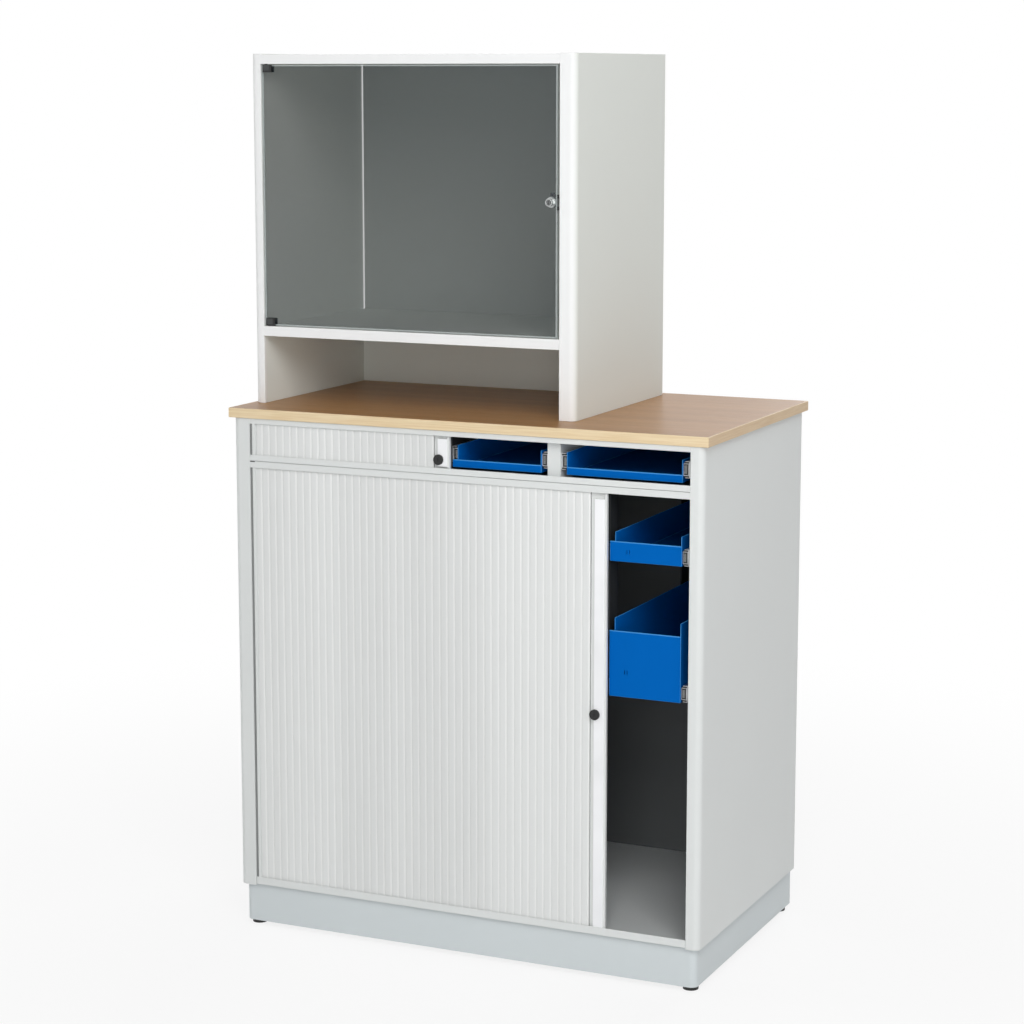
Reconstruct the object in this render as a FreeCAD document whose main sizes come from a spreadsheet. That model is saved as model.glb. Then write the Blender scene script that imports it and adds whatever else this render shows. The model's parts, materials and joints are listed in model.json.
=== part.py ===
import FreeCAD, Part
import os
import re
import Sketcher

# A stand-up computer desk: a steel cabinet with two sliding shutters and four drawers,
# a worktop, and a glazed monitor housing on the left of the worktop.
# +X is to the right, the front faces -Y, +Z is up, and the floor under the desk's middle is the origin.

doc = FreeCAD.newDocument("computer_desk")

# Driving dimensions, in millimetres
DIMENSIONS = {
    "desk_width": 1000,
    "desk_depth": 572,
    "worktop_height": 1050,
    "worktop_thickness": 19,
    "edging_thickness": 2,
    "steel_gauge": 1.5,
    # carcass
    "base_width": 982,
    "base_front": 283,
    "base_back": 273.5,
    "base_bottom": 84.5,
    "left_stile": 36,
    "right_stile": 26.6,
    "stile_radius": 13,
    "rail_depth": 14,
    "bottom_rail_low": 87.5,
    "bottom_rail_top": 102.5,
    "bottom_rail_gap": 0.8,
    "head_rail_low": 934,
    "seam_height": 947,
    "seam_gap": 0.8,
    "notch_length": 11,
    "notch_height": 1.6,
    "sill_rail_top": 959,
    "top_rail_low": 1020.5,
    "back_lip": 8,
    # plinth and feet
    "foot_height": 9,
    "foot_diameter": 30,
    "foot_reach": 465,
    "foot_front": 253,
    "foot_back": 250,
    "stud_diameter": 10,
    "stud_top": 62,
    "stud_play": 0.2,
    "stud_start": 4,
    "collar_height": 2,
    "collar_step": 3.5,
    "nut_height": 6,
    "nut_step": 3.5,
    "plinth_front_inset": 7.5,
    "plinth_side_inset": 8,
    "plinth_radius": 14,
    "bracket_size": 56,
    "bracket_height": 44,
    "bracket_thickness": 3,
    # shutters
    "slat_pitch": 15.5,
    "slat_gap": 1.6,
    "slat_setback": 3.5,
    "slat_thickness": 7,
    "slat_web": 2,
    "slat_play": 0.5,
    "corner_offset": 36,
    "corner_radius": 26.5,
    "back_corner": 222,
    "track_width": 10.4,
    "track_groove": 8.2,
    "track_height": 8.5,
    "track_floor": 1.5,
    "track_back_end": 120,
    "track_end_play": 0.4,
    "upper_slats": 25,
    "lower_slats": 46,
    "upper_return": 443,
    "lower_return": 158,
    "upper_bar_right": -21.5,
    "lower_bar_right": 301,
    "bar_width": 33,
    "bar_groove": 8.6,
    "bar_groove_depth": 4.5,
    "bar_edge": 4.8,
    "plate_proud": 1.5,
    "plate_seat": 1,
    "upper_plate_low": 962,
    "upper_plate_top": 1015,
    "lower_plate_low": 99.5,
    "lower_plate_top": 922,
    "shutter_lock_inset": 22,
    "upper_lock_height": 975,
    "lower_lock_height": 514,
    "lock_head_diameter": 20,
    "lock_head_depth": 3.7,
    "lock_barrel_diameter": 15,
    "lock_play": 0.3,
    "lock_cam_length": 31,
    "lock_cam_width": 12,
    "lock_cam_thickness": 1.5,
    "lock_cam_gap": 0.4,
    "key_slot_width": 1.6,
    "key_slot_height": 8,
    "key_slot_depth": 2,
    "inlet_gap": 4.6,
    "inlet_width": 6.4,
    "inlet_lap": 0.4,
    # drawers
    "drawer_front": 268,
    "drawer_depth": 440,
    "tray_gauge": 1.5,
    "slide_front": 264,
    "slide_length": 420,
    "slide_height": 31,
    "slide_width": 12.5,
    "slide_gauge": 1.2,
    "slide_channel": 9,
    "slide_step": 1.7,
    "slide_play": 0.8,
    "row_tray_low": 961,
    "row_front_height": 13.5,
    "row_side_height": 42,
    "row_slide_middle": 985,
    "shallow_low": 806,
    "shallow_front_height": 36.5,
    "shallow_side_height": 55,
    "shallow_slide_middle": 822,
    "deep_low": 550,
    "deep_front_height": 124,
    "deep_side_height": 149,
    "deep_slide_middle": 567,
    "row_post_left": 175.5,
    "row_post_width": 26.5,
    "row_divider_right": -22.8,
    "right_rack": 456.5,
    "hanger_right": 299.8,
    "hanger_gauge": 2,
    "hanger_width": 40,
    "hanger_low": 546,
    "hanger_flange": 34,
    "hanger_setback": 2,
    "hanger_end_room": 6,
    "row_back_room": 34,
    "cheek_play": 1,
    "slot_width": 1.6,
    "slot_height": 8,
    "slot_step": 5,
    "shallow_slot": 34,
    "deep_slot": 31,
    "side_slot_place": 54,
    "side_slot_width": 3,
    "side_slot_low": 6,
    "side_slot_low_height": 3,
    "side_slot_high": 15,
    "side_slot_high_height": 8,
    # monitor housing
    "housing_left": -491,
    "housing_right": 200,
    "housing_front": 196,
    "housing_back": 254,
    "housing_top": 1734,
    "housing_radius": 14,
    "left_wall": 22,
    "right_wall": 33.4,
    "board_height": 18,
    "top_step": 1.5,
    "shelf_top": 1203.5,
    "shelf_height": 19.5,
    "panel_setback": 32,
    "panel_slit": 3.4,
    # glass door
    "door_setback": 3,
    "glass_thickness": 5,
    "glass_gap": 2,
    "glass_side_gap": 2.5,
    "strike_room": 6.1,
    "clamp_width": 19,
    "clamp_height": 14.8,
    "clamp_depth": 13,
    "clamp_inset": 5.4,
    "clamp_gap": 1.2,
    "pivot_inset": 9.5,
    "pin_diameter": 6,
    "pin_length": 10,
    "pin_play": 0.05,
    "pin_room": 2,
    "pin_grip": 4,
    "door_lock_across": 148,
    "door_lock_height": 1459,
    "door_lock_diameter": 19,
    "door_barrel_diameter": 14.4,
    "door_barrel_length": 8.5,
    "door_plug_diameter": 10,
    "door_lock_flange": 2.5,
    "door_lock_nut": 3.2,
    "door_lock_play": 0.3,
    "plug_play": 0.1,
    "door_cam_length": 17.6,
    "door_cam_width": 10,
    "door_cam_thickness": 2,
    "plug_slot_width": 2.2,
    "plug_slot_height": 7,
    "plug_slot_depth": 4,
    "strike_width": 5,
    "strike_height": 29,
    "strike_lip": 2,
    "strike_front_room": 1,
    "strike_back_room": 3.5,
    "strike_back": 6,
    "strike_notch": 15,
    "strike_setback": 1,
    # screws in the back panels
    "screw_diameter": 9,
    "screw_head": 2,
    "base_screw_inset": 20,
    "housing_screw_inset": 30,
}

sheet = doc.addObject("Spreadsheet::Sheet", "dims")
for row, (alias, number) in enumerate(DIMENSIONS.items(), start=1):
    sheet.set("A%d" % row, alias)
    sheet.set("B%d" % row, str(number))
    sheet.setAlias("B%d" % row, alias)
doc.recompute()


def value(alias):
    """The number in a dimension's cell."""
    return float(sheet.get(alias))


def bind(thing, path, text):
    """Tie a property to an expression in which each word is a dimension."""
    thing.setExpression(path, re.sub(r"[a-z]\w*", lambda word: "dims." + word.group(0), text))


# Planes and levels that many pieces share
FRONT = "-base_front"
LEFT = "-base_width / 2"
RIGHT = "base_width / 2"
SKIN_LEFT = "-base_width / 2 + steel_gauge"
SKIN_RIGHT = "base_width / 2 - steel_gauge"
STILE_LEFT = "-base_width / 2 + left_stile"
STILE_RIGHT = "base_width / 2 - right_stile"
RAIL_BACK = "-base_front + rail_depth"
BACK_INSIDE = "base_back - steel_gauge"
SLAT_FRONT = "-base_front + slat_setback"
SLAT_BACK = "-base_front + slat_setback + slat_thickness"
BENCH_LOW = "worktop_height - worktop_thickness"
TOP_SHEET_LOW = "worktop_height - worktop_thickness - steel_gauge"
FLOOR_TOP = "bottom_rail_low + steel_gauge"
CEILING_TOP = "seam_height - seam_gap / 2"
CEILING_LOW = "seam_height - seam_gap / 2 - steel_gauge"
ROW_FLOOR_LOW = "seam_height + seam_gap / 2"
ROW_FLOOR_TOP = "seam_height + seam_gap / 2 + steel_gauge"
SLAT_INSET = "track_floor + slat_play"

sub_parts = []


def keep(piece, label):
    """Mark a finished sub-part, whose label names its file."""
    piece.Label = label
    sub_parts.append(piece)
    return piece


def box(name, x, y, z):
    """A plate or block between three pairs of limits."""
    block = doc.addObject("Part::Box", name)
    for side, letter, (low, high) in (("Length", "x", x), ("Width", "y", y), ("Height", "z", z)):
        bind(block, side, "(%s) - (%s)" % (high, low))
        bind(block, "Placement.Base." + letter, low)
    return block


def cylinder(name, diameter, length, start, along="z"):
    """A round bar from its start point along +Z or +Y."""
    bar = doc.addObject("Part::Cylinder", name)
    if along == "y":
        turn = FreeCAD.Rotation(FreeCAD.Vector(1, 0, 0), -90)
        bar.Placement = FreeCAD.Placement(FreeCAD.Vector(), turn)
    bind(bar, "Radius", "(%s) / 2" % diameter)
    bind(bar, "Height", length)
    for letter, place in zip("xyz", start):
        bind(bar, "Placement.Base." + letter, place)
    return bar


def joined(name, pieces):
    union = doc.addObject("Part::MultiFuse", name)
    union.Shapes = pieces
    return union


def cut(name, base, tools):
    result = doc.addObject("Part::Cut", name)
    result.Base = base
    result.Tool = tools[0] if len(tools) == 1 else joined(name + "_tools", tools)
    return result


def origin_plane(body, role):
    return next(feature for feature in body.Origin.OriginFeatures if feature.Role == role)


def outline(body, name, role, corners, lift=None):
    """A closed sketch whose corners are held from the body's origin by expressions."""
    sketch = body.newObject("Sketcher::SketchObject", name)
    sketch.AttachmentSupport = (origin_plane(body, role), [""])
    sketch.MapMode = "FlatFace"
    if lift:
        bind(sketch, "AttachmentOffset.Base.z", lift)
    count = len(corners)
    upward = FreeCAD.Vector(0, 0, 1)
    first = FreeCAD.Vector(100, 0, 0)
    spread = [FreeCAD.Rotation(upward, 360 * index / count).multVec(first) for index in range(count)]
    for index in range(count):
        sketch.addGeometry(Part.LineSegment(spread[index], spread[(index + 1) % count]), False)
    for index in range(count):
        sketch.addConstraint(Sketcher.Constraint("Coincident", index, 2, (index + 1) % count, 1))
    for index, (across, up) in enumerate(corners):
        for kind, text, start in (("DistanceX", across, spread[index].x), ("DistanceY", up, spread[index].y)):
            number = sketch.addConstraint(Sketcher.Constraint(kind, -1, 1, index, 1, start))
            sketch.renameConstraint(number, "%s%d" % (kind, index))
            bind(sketch, "Constraints.%s%d" % (kind, index), text)
    return sketch


def padded(body, sketch, length):
    pad = body.newObject("PartDesign::Pad", sketch.Name + "_pad")
    pad.Profile = (sketch, [""])
    bind(pad, "Length", length)
    return pad


def rounded(body, feature, radius, chosen):
    """Round the vertical edges of a body that stand at the chosen plan points."""
    doc.recompute()
    names = []
    for index, edge in enumerate(feature.Shape.Edges, start=1):
        span = edge.BoundBox
        upright = span.ZLength > 1 and span.XLength < 0.01 and span.YLength < 0.01
        if upright and any(abs(span.XMin - x) < 0.01 and abs(span.YMin - y) < 0.01 for x, y in chosen):
            names.append("Edge%d" % index)
    fillet = body.newObject("PartDesign::Fillet", feature.Name + "_round")
    fillet.Base = (feature, names)
    bind(fillet, "Radius", radius)
    return fillet


def new_body(name, z=None):
    body = doc.addObject("PartDesign::Body", name)
    if z:
        bind(body, "Placement.Base.z", z)
    return body


# Worktop: a board with a solid edging all round
half_wide = "desk_width / 2"
half_deep = "desk_depth / 2"
board_x = ("-%s + edging_thickness" % half_wide, "%s - edging_thickness" % half_wide)
board_y = ("-%s + edging_thickness" % half_deep, "%s - edging_thickness" % half_deep)
board_z = (BENCH_LOW, "worktop_height")
keep(box("board", board_x, board_y, board_z), "worktop")
edging_outer = box("edging_outer", ("-" + half_wide, half_wide), ("-" + half_deep, half_deep), board_z)
edging_inner = box("edging_inner", board_x, board_y, board_z)
keep(cut("edging", edging_outer, [edging_inner]), "worktop_edging")

# Side panels: folded sheet with a rounded stile along the front
for side, sign, stile in (("left", -1, "left_stile"), ("right", 1, "right_stile")):
    body = new_body(side + "_side", "base_bottom")
    outer = LEFT if sign < 0 else RIGHT
    skin = SKIN_LEFT if sign < 0 else SKIN_RIGHT
    inner = STILE_LEFT if sign < 0 else STILE_RIGHT
    lip_back = FRONT + " + steel_gauge"
    corners = [(outer, FRONT), (inner, FRONT), (inner, lip_back), (skin, lip_back),
               (skin, BACK_INSIDE), (outer, BACK_INSIDE)]
    sketch = outline(body, side + "_side_profile", "XY_Plane", corners)
    pad = padded(body, sketch, "%s - base_bottom" % BENCH_LOW)
    edge_x = sign * value("base_width") / 2
    edge_y = -value("base_front")
    gauge = value("steel_gauge")
    outside = rounded(body, pad, "stile_radius", [(edge_x, edge_y)])
    rounded(body, outside, "stile_radius - steel_gauge", [(edge_x - sign * gauge, edge_y + gauge)])
    keep(body, side + "_side_panel")

# Sheets between the side panels
inside_x = (SKIN_LEFT, SKIN_RIGHT)
inside_y = (RAIL_BACK, BACK_INSIDE)
keep(box("floor_sheet", inside_x, inside_y, ("bottom_rail_low", FLOOR_TOP)), "base_floor")
keep(box("ceiling_sheet", inside_x, inside_y, (CEILING_LOW, CEILING_TOP)), "bay_ceiling")
keep(box("row_sheet", inside_x, inside_y, (ROW_FLOOR_LOW, ROW_FLOOR_TOP)), "row_floor")
keep(box("top_sheet", inside_x, inside_y, (TOP_SHEET_LOW, BENCH_LOW)), "carcass_top")
back_sheet = box("back_sheet", (LEFT, RIGHT), (BACK_INSIDE, "base_back"), ("base_bottom", BENCH_LOW))
keep(back_sheet, "base_back_panel")


def rail(label, web_low, lip_end, opens_up, notched=False, end_gap="0"):
    """A folded channel between the stiles, with a tall front lip and a shorter back lip."""
    body = new_body(label + "_body")
    bind(body, "Placement.Base.x", "%s + %s" % (STILE_LEFT, end_gap))
    lip_in = FRONT + " + steel_gauge"
    back_in = RAIL_BACK + " - steel_gauge"
    web_top = web_low + " + steel_gauge"
    if opens_up:
        outside, inside, back_end = web_low, web_top, web_low + " + back_lip"
    else:
        outside, inside, back_end = web_top, web_low, web_top + " - back_lip"
    corners = [(FRONT, outside), (RAIL_BACK, outside), (RAIL_BACK, back_end), (back_in, back_end),
               (back_in, inside), (lip_in, inside), (lip_in, lip_end), (FRONT, lip_end)]
    sketch = outline(body, label + "_profile", "YZ_Plane", corners)
    padded(body, sketch, "%s - (%s) - 2 * %s" % (STILE_RIGHT, STILE_LEFT, end_gap))
    if not notched:
        return keep(body, label)
    notch = box(label + "_notch", (STILE_LEFT, STILE_LEFT + " + notch_length"), (FRONT, lip_in),
                (outside + " - notch_height", outside))
    return keep(cut(label + "_channel", body, [notch]), label)


rail("bottom_rail", "bottom_rail_low", "bottom_rail_top", True, end_gap="bottom_rail_gap")
rail("lower_head_rail", CEILING_LOW, "head_rail_low", False, notched=True)
rail("upper_sill_rail", ROW_FLOOR_LOW, "sill_rail_top", True)
rail("top_rail", TOP_SHEET_LOW, "top_rail_low", False)

# Plinth: a sheet ring with rounded front corners, a flat bracket in each corner for a levelling foot
plinth_x = value("base_width") / 2 - value("plinth_side_inset")
plinth_y = -value("base_front") + value("plinth_front_inset")
plinth_edge = "base_width / 2 - plinth_side_inset"
plinth_front = "-base_front + plinth_front_inset"


def plinth_prism(name, inset, radius):
    body = new_body(name, "foot_height")
    sides = ("-(%s - %s)" % (plinth_edge, inset), "%s - %s" % (plinth_edge, inset))
    front = "%s + %s" % (plinth_front, inset)
    back = "base_back - " + inset
    corners = [(sides[0], front), (sides[1], front), (sides[1], back), (sides[0], back)]
    pad = padded(body, outline(body, name + "_plan", "XY_Plane", corners), "base_bottom - foot_height")
    step = 0 if inset == "0" else value(inset)
    rounded(body, pad, radius, [(plinth_x - step, plinth_y + step), (step - plinth_x, plinth_y + step)])
    return body


ring = cut("plinth_ring", plinth_prism("plinth_outer", "0", "plinth_radius"),
           [plinth_prism("plinth_inner", "steel_gauge", "plinth_radius - steel_gauge")])
brackets = []
studs = []
stud_holes = []
wall = "%s - steel_gauge" % plinth_edge
bracket_y = {"front": (plinth_front + " + plinth_radius", "-foot_front + bracket_size / 2"),
             "back": ("foot_back - bracket_size / 2", "base_back - steel_gauge")}
bracket_x = {"left": ("-(%s)" % wall, "-foot_reach + bracket_size / 2"),
             "right": ("foot_reach - bracket_size / 2", wall)}
for along, foot_y in (("front", "-foot_front"), ("back", "foot_back")):
    for side, foot_x in (("left", "-foot_reach"), ("right", "foot_reach")):
        place = along + "_" + side
        brackets.append(box("bracket_" + place, bracket_x[side], bracket_y[along],
                            ("bracket_height - bracket_thickness", "bracket_height")))
        hole_start = (foot_x, foot_y, "bracket_height - 2 * bracket_thickness")
        stud_holes.append(cylinder("stud_hole_" + place, "stud_diameter + 2 * stud_play",
                                   "3 * bracket_thickness", hole_start))
        pad_height = "foot_height - collar_height"
        pad = cylinder("foot_pad_" + place, "foot_diameter", pad_height, (foot_x, foot_y, "0"))
        collar = cylinder("foot_collar_" + place, "foot_diameter - 2 * collar_step", "collar_height",
                          (foot_x, foot_y, pad_height))
        stud = cylinder("foot_stud_" + place, "stud_diameter", "stud_top - stud_start",
                        (foot_x, foot_y, "stud_start"))
        nut = cylinder("foot_nut_" + place, "stud_diameter + 2 * nut_step", "nut_height",
                       (foot_x, foot_y, "bracket_height"))
        studs.append(joined("foot_" + place, [pad, collar, stud, nut]))
keep(cut("plinth_frame", joined("plinth_with_brackets", [ring] + brackets), stud_holes), "plinth")
keep(joined("feet", studs), "levelling_feet")

# Shutter tracks and the slats stored round the corner follow one path:
# along the front, round the left corner, along the left side and round onto the back.
path_y = -value("base_front") + value("slat_setback") + value("slat_thickness") / 2
turn_x = -value("base_width") / 2 + value("corner_offset")
turn_radius = value("corner_radius")
front_turn_y = path_y + turn_radius
back_turn_y = value("back_corner")
quarter = 2 ** -0.5


def path_wire(half, start_x, left_end=None, back_end=None):
    """The outline of a strip of a given half width along the shutters' path."""
    def side(offset):
        reach = turn_radius + offset
        edges = [("line", (start_x, front_turn_y - reach), (turn_x, front_turn_y - reach)),
                 ("turn", (turn_x, front_turn_y - reach),
                  (turn_x - reach * quarter, front_turn_y - reach * quarter), (turn_x - reach, front_turn_y))]
        if left_end is not None:
            edges.append(("line", (turn_x - reach, front_turn_y), (turn_x - reach, left_end)))
            return edges
        edges.append(("line", (turn_x - reach, front_turn_y), (turn_x - reach, back_turn_y)))
        edges.append(("turn", (turn_x - reach, back_turn_y),
                      (turn_x - reach * quarter, back_turn_y + reach * quarter),
                      (turn_x, back_turn_y + reach)))
        edges.append(("line", (turn_x, back_turn_y + reach), (back_end, back_turn_y + reach)))
        return edges

    outer = side(half)
    inner = side(-half)
    caps = [("line", outer[0][1], inner[0][1]), ("line", outer[-1][-1], inner[-1][-1])]
    made = []
    for edge in outer + inner + caps:
        points = [FreeCAD.Vector(x, y, 0) for x, y in edge[1:]]
        curve = Part.LineSegment(*points) if edge[0] == "line" else Part.Arc(*points)
        made.append(curve.toShape())
    return Part.Wire(Part.__sortEdges__(made))


def strip(half, height, **limits):
    face = Part.Face(path_wire(half, **limits))
    return face.extrude(FreeCAD.Vector(0, 0, height))


def placed_shape(label, shape, z):
    piece = doc.addObject("Part::Feature", label + "_shape")
    piece.Shape = shape
    piece.Placement = FreeCAD.Placement(FreeCAD.Vector(0, 0, z), FreeCAD.Rotation())
    return piece


track_height = value("track_height")
groove_depth = track_height - value("track_floor")
track_right = value("base_width") / 2 - value("right_stile") - value("track_end_play")
track_limits = {"start_x": track_right, "back_end": -value("track_back_end")}


def track(name, z, opens_up):
    """A channel strip that guides one edge of a shutter."""
    solid = strip(value("track_width") / 2, track_height, **track_limits)
    groove = strip(value("track_groove") / 2, groove_depth, **track_limits)
    if opens_up:
        groove.translate(FreeCAD.Vector(0, 0, value("track_floor")))
    return placed_shape(name, solid.cut(groove), z)


floor_top = value("bottom_rail_low") + gauge
ceiling_low = value("seam_height") - value("seam_gap") / 2 - gauge
row_floor_top = value("seam_height") + value("seam_gap") / 2 + gauge
top_sheet_low = value("worktop_height") - value("worktop_thickness") - gauge

SHUTTERS = (
    ("upper", "upper_bar_right", "upper_slats", "upper_return", ROW_FLOOR_TOP, TOP_SHEET_LOW,
     row_floor_top, top_sheet_low, "upper_plate_low", "upper_plate_top", "upper_lock_height"),
    ("lower", "lower_bar_right", "lower_slats", "lower_return", FLOOR_TOP, CEILING_LOW,
     floor_top, ceiling_low, "lower_plate_low", "lower_plate_top", "lower_lock_height"),
)

for (name, bar_right, slats, stored, low_sheet, high_sheet, low_level, high_level,
     plate_low, plate_top, lock_height) in SHUTTERS:
    tracks = [track(name + "_sill_track", low_level, True),
              track(name + "_head_track", high_level - track_height, False)]
    keep(joined(name + "_tracks", tracks), name + "_shutter_tracks")

    slat_low = "%s + %s" % (low_sheet, SLAT_INSET)
    slat_height = "%s - (%s) - 2 * (%s)" % (high_sheet, low_sheet, SLAT_INSET)
    bar_left = bar_right + " - bar_width"
    slat_end = bar_left + " - slat_play"
    slat_start = "%s - %s * slat_pitch" % (slat_end, slats)

    # Slats on the front: a thin web behind, one rib for each slat
    body = new_body(name + "_slats_body", slat_low)
    web_front = SLAT_BACK + " - slat_web"
    web_corners = [(slat_start, web_front), (slat_end, web_front),
                   (slat_end, SLAT_BACK), (slat_start, SLAT_BACK)]
    padded(body, outline(body, name + "_web", "XY_Plane", web_corners), slat_height)
    rib_left = slat_start + " + slat_gap / 2"
    rib_right = slat_start + " + slat_pitch - slat_gap / 2"
    rib_back = web_front + " + slat_web / 2"
    rib_corners = [(rib_left, SLAT_FRONT), (rib_right, SLAT_FRONT),
                   (rib_right, rib_back), (rib_left, rib_back)]
    rib_sketch = outline(body, name + "_rib", "XY_Plane", rib_corners)
    rib = padded(body, rib_sketch, slat_height)
    doc.recompute()
    pattern = body.newObject("PartDesign::LinearPattern", name + "_slat_row")
    pattern.Originals = [rib]
    pattern.Direction = (rib_sketch, ["H_Axis"])
    pattern.Mode = "Spacing"
    bind(pattern, "Offset", "slat_pitch")
    bind(pattern, "Occurrences", slats)
    body.Tip = pattern
    keep(body, name + "_shutter_slats")

    # Slats stored round the corner, drawn as one band
    slats_wide = value(slats) * value("slat_pitch")
    start_x = value(bar_right) - value("bar_width") - 2 * value("slat_play") - slats_wide
    band = strip(value("slat_thickness") / 2,
                 high_level - low_level - 2 * (value("track_floor") + value("slat_play")),
                 start_x=start_x, left_end=front_turn_y + value(stored))
    keep(placed_shape(name + "_return", band, low_level + value("track_floor") + value("slat_play")),
         name + "_shutter_return")

    # End bar: a core with a flange along its right edge, a face plate between the rails, a hole for the lock
    body = new_body(name + "_bar_body", slat_low)
    groove_right = bar_left + " + bar_groove"
    groove_front = SLAT_FRONT + " + bar_groove_depth"
    plate_right = bar_right + " - bar_edge"
    plate_front = SLAT_FRONT + " - plate_proud"
    plate_back = groove_front + " + plate_seat"
    core_corners = [(bar_left, SLAT_BACK), (bar_left, groove_front), (plate_right, groove_front),
                    (plate_right, SLAT_FRONT), (bar_right, SLAT_FRONT), (bar_right, SLAT_BACK)]
    padded(body, outline(body, name + "_bar_core", "XY_Plane", core_corners), slat_height)
    plate_corners = [(groove_right, plate_front), (plate_right, plate_front),
                     (plate_right, plate_back), (groove_right, plate_back)]
    plate_lift = "%s - (%s)" % (plate_low, slat_low)
    plate_sketch = outline(body, name + "_bar_plate", "XY_Plane", plate_corners, plate_lift)
    padded(body, plate_sketch, "%s - %s" % (plate_top, plate_low))
    lock_x = bar_right + " - shutter_lock_inset"
    lock_hole = cylinder(name + "_lock_hole", "lock_barrel_diameter + lock_play", "3 * slat_thickness",
                         (lock_x, FRONT + " - slat_thickness", lock_height), "y")
    keep(cut(name + "_bar", body, [lock_hole]), name + "_end_bar")

    # Lock: a round head with a key slot, a barrel through the bar, a cam behind it that points up at rest
    head_back = plate_front + " - lock_play"
    head_front = head_back + " - lock_head_depth"
    cam_front = SLAT_BACK + " + lock_cam_gap"
    head = cylinder(name + "_lock_head", "lock_head_diameter", "lock_head_depth",
                    (lock_x, head_front, lock_height), "y")
    barrel = cylinder(name + "_lock_barrel", "lock_barrel_diameter", "%s - (%s)" % (cam_front, head_back),
                      (lock_x, head_back, lock_height), "y")
    cam = box(name + "_lock_cam", (lock_x + " - lock_cam_width / 2", lock_x + " + lock_cam_width / 2"),
              (cam_front, cam_front + " + lock_cam_thickness"),
              (lock_height + " - lock_cam_width / 2", lock_height + " + lock_cam_length"))
    key_slot = box(name + "_key_slot", (lock_x + " - key_slot_width / 2", lock_x + " + key_slot_width / 2"),
                   (head_front, head_front + " + key_slot_depth"),
                   (lock_height + " - key_slot_height / 2", lock_height + " + key_slot_height / 2"))
    lock_solid = joined(name + "_lock_solid", [head, barrel, cam])
    keep(cut(name + "_lock", lock_solid, [key_slot]), name + "_bar_lock")

# Inlet strips beside the left stile, in front of the slats
inlet_left = STILE_LEFT + " + inlet_gap"
strips = [box("inlet_" + name, (inlet_left, inlet_left + " + inlet_width"),
              (FRONT + " + steel_gauge", FRONT + " + 2 * steel_gauge"), limits)
          for name, limits in (("upper", ("sill_rail_top - inlet_lap", "top_rail_low + inlet_lap")),
                               ("lower", ("bottom_rail_top - inlet_lap", "head_rail_low + inlet_lap")))]
keep(joined("inlets", strips), "inlet_strips")

# Supports for the drawers
post_right = "row_post_left + row_post_width"
row_z = (ROW_FLOOR_TOP, TOP_SHEET_LOW)
row_back = "base_back - row_back_room"
post_outer = box("post_outer", ("row_post_left", post_right), ("-drawer_front", row_back), row_z)
post_inner = box("post_inner", ("row_post_left + steel_gauge", post_right + " - steel_gauge"),
                 ("-drawer_front + steel_gauge", row_back), row_z)
keep(cut("post", post_outer, [post_inner]), "row_partition")
divider_x = ("row_divider_right - steel_gauge", "row_divider_right")
keep(box("divider", divider_x, ("-slide_front", row_back), row_z), "row_divider")
hanger_parts = []
upright_parts = []
hanger_left = "hanger_right - hanger_gauge"
for place, start in (("front", "-slide_front + hanger_setback"),
                     ("back", "slide_length - slide_front - hanger_width - hanger_end_room")):
    across = (start, start + " + hanger_width")
    hanger_parts.append(box("hanger_web_" + place, (hanger_left, "hanger_right"),
                            across, ("hanger_low", CEILING_LOW)))
    hanger_parts.append(box("hanger_flange_" + place, ("hanger_right - hanger_flange", hanger_left),
                            across, (CEILING_LOW + " - hanger_gauge", CEILING_LOW)))
    for level, limits in (("low", (FLOOR_TOP, CEILING_LOW)), ("row", row_z)):
        outside = box("upright_" + level + "_" + place, ("right_rack", SKIN_RIGHT), across, limits)
        inside = box("upright_room_" + level + "_" + place, ("right_rack + steel_gauge", SKIN_RIGHT),
                     (start + " + steel_gauge", start + " + hanger_width - steel_gauge"), limits)
        upright_parts.append(cut("upright_post_" + level + "_" + place, outside, [inside]))
keep(joined("hangers", hanger_parts), "drawer_hangers")
keep(joined("uprights", upright_parts), "right_uprights")


def slide_members(name, side, mount, middle):
    """Nested channels from a mounting face towards the drawer: fixed, middle and inner."""
    toward = "+" if side == "left" else "-"

    def span(near, far):
        limits = ("%s %s (%s)" % (mount, toward, near), "%s %s (%s)" % (mount, toward, far))
        return limits if side == "left" else limits[::-1]

    def channel(member, near, far, half, web_first):
        half = "(%s)" % half
        along = ("-slide_front", "slide_length - slide_front")
        solid = box("%s_%s_%s" % (name, side, member), span(near, far), along,
                    ("%s - %s" % (middle, half), "%s + %s" % (middle, half)))
        open_near = near + " + slide_gauge" if web_first else near
        open_far = far if web_first else far + " - slide_gauge"
        room = box("%s_%s_%s_room" % (name, side, member), span(open_near, open_far), along,
                   ("%s - %s + slide_gauge" % (middle, half), "%s + %s - slide_gauge" % (middle, half)))
        return cut("%s_%s_%s_channel" % (name, side, member), solid, [room])

    fixed_half = "slide_height / 2"
    middle_half = fixed_half + " - slide_gauge - slide_play"
    inner_half = middle_half + " - slide_gauge - slide_play"
    return (channel("fixed", "0", "slide_channel", fixed_half, True),
            channel("middle", "slide_step", "slide_channel + slide_step", middle_half, True),
            channel("inner", "2 * slide_step", "slide_width", inner_half, False))


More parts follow.
